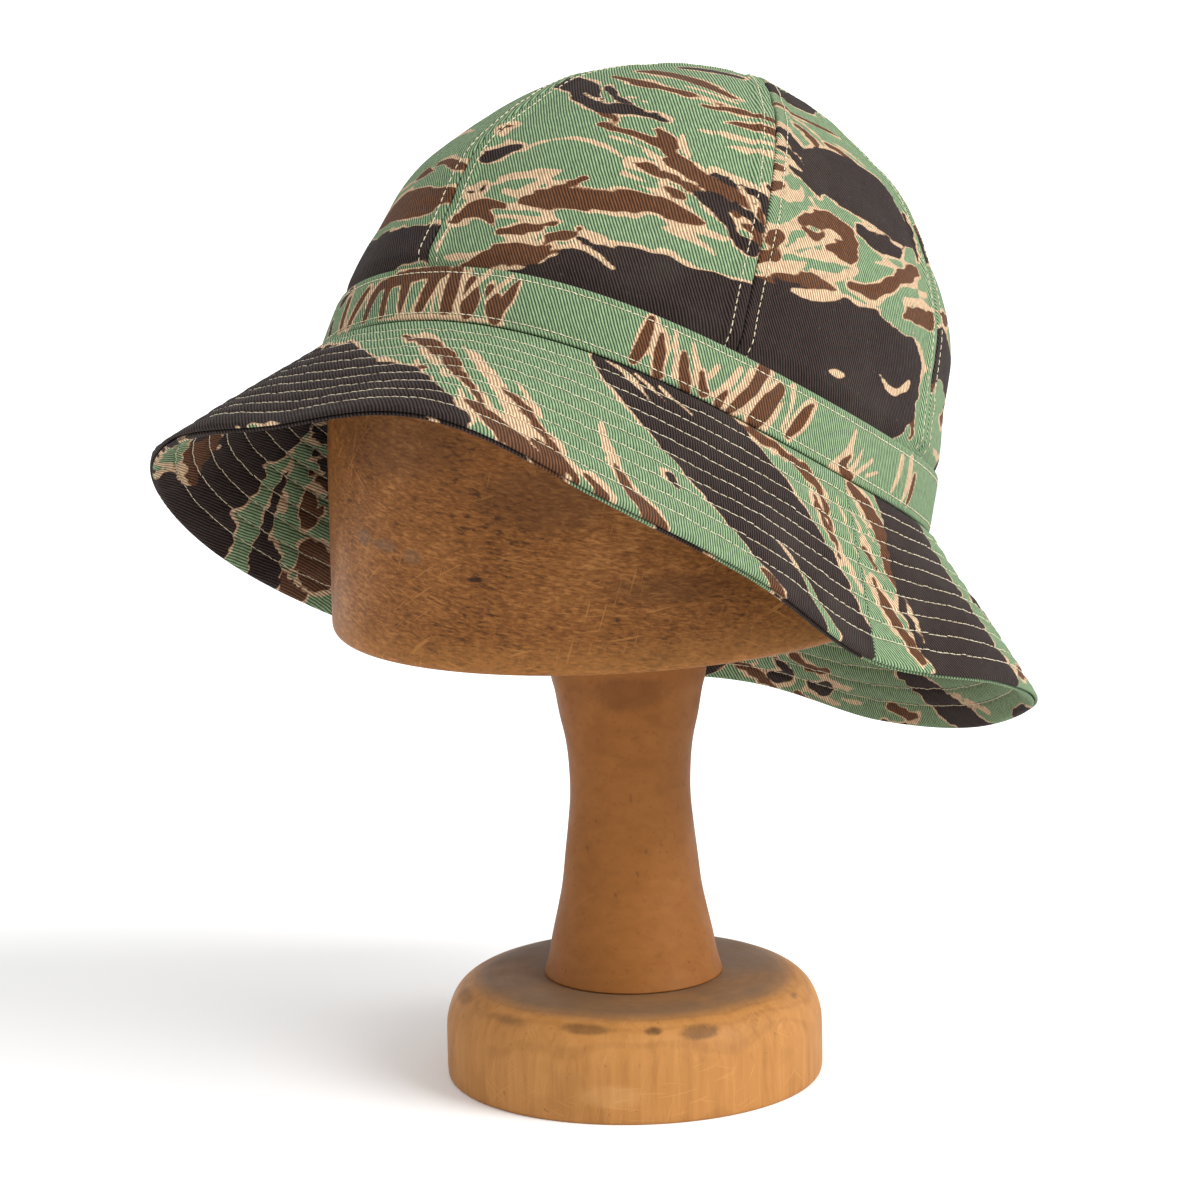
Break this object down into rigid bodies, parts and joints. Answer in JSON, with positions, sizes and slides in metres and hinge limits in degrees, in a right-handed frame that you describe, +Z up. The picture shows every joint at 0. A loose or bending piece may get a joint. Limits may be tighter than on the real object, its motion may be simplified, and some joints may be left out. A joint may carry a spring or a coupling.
{
  "type": "soft cloth sun hat on a plain wooden hat stand",
  "caption": "Soft panelled sun hat in striped camouflage cotton with a stitched, drooping brim, resting tilted back on a turned wooden hat stand.",
  "frame": {"origin": "middle of the stand's flat foot", "axes": "+Z up along the stem; the hat's front faces -Y and the wearer's left is +X"},
  "size_m": [0.2287, 0.2669, 0.314],
  "materials": {
    "cloth": "striped camouflage cotton twill, matt, with tan stitching",
    "under_cloth": "the same cotton twill on the brim's underside",
    "stitch_thread": "tan cotton thread",
    "pale_wood": "turned wood, warm brown, thin varnish",
    "dark_wood": "worn and stained hat block wood"
  },
  "bodies": {
    "root": {"stand_base": "pale_wood", "stand_stem": "pale_wood", "hat_block": "dark_wood", "crown_panel_1": "cloth", "crown_panel_2": "cloth", "crown_panel_3": "cloth", "crown_panel_4": "cloth", "crown_panel_5": "cloth", "crown_panel_6": "cloth", "hat_band": "cloth", "brim_upper_front": "cloth", "brim_upper_back": "cloth", "brim_under_front": "under_cloth", "brim_under_back": "under_cloth"}
  },
  "joints": []
}
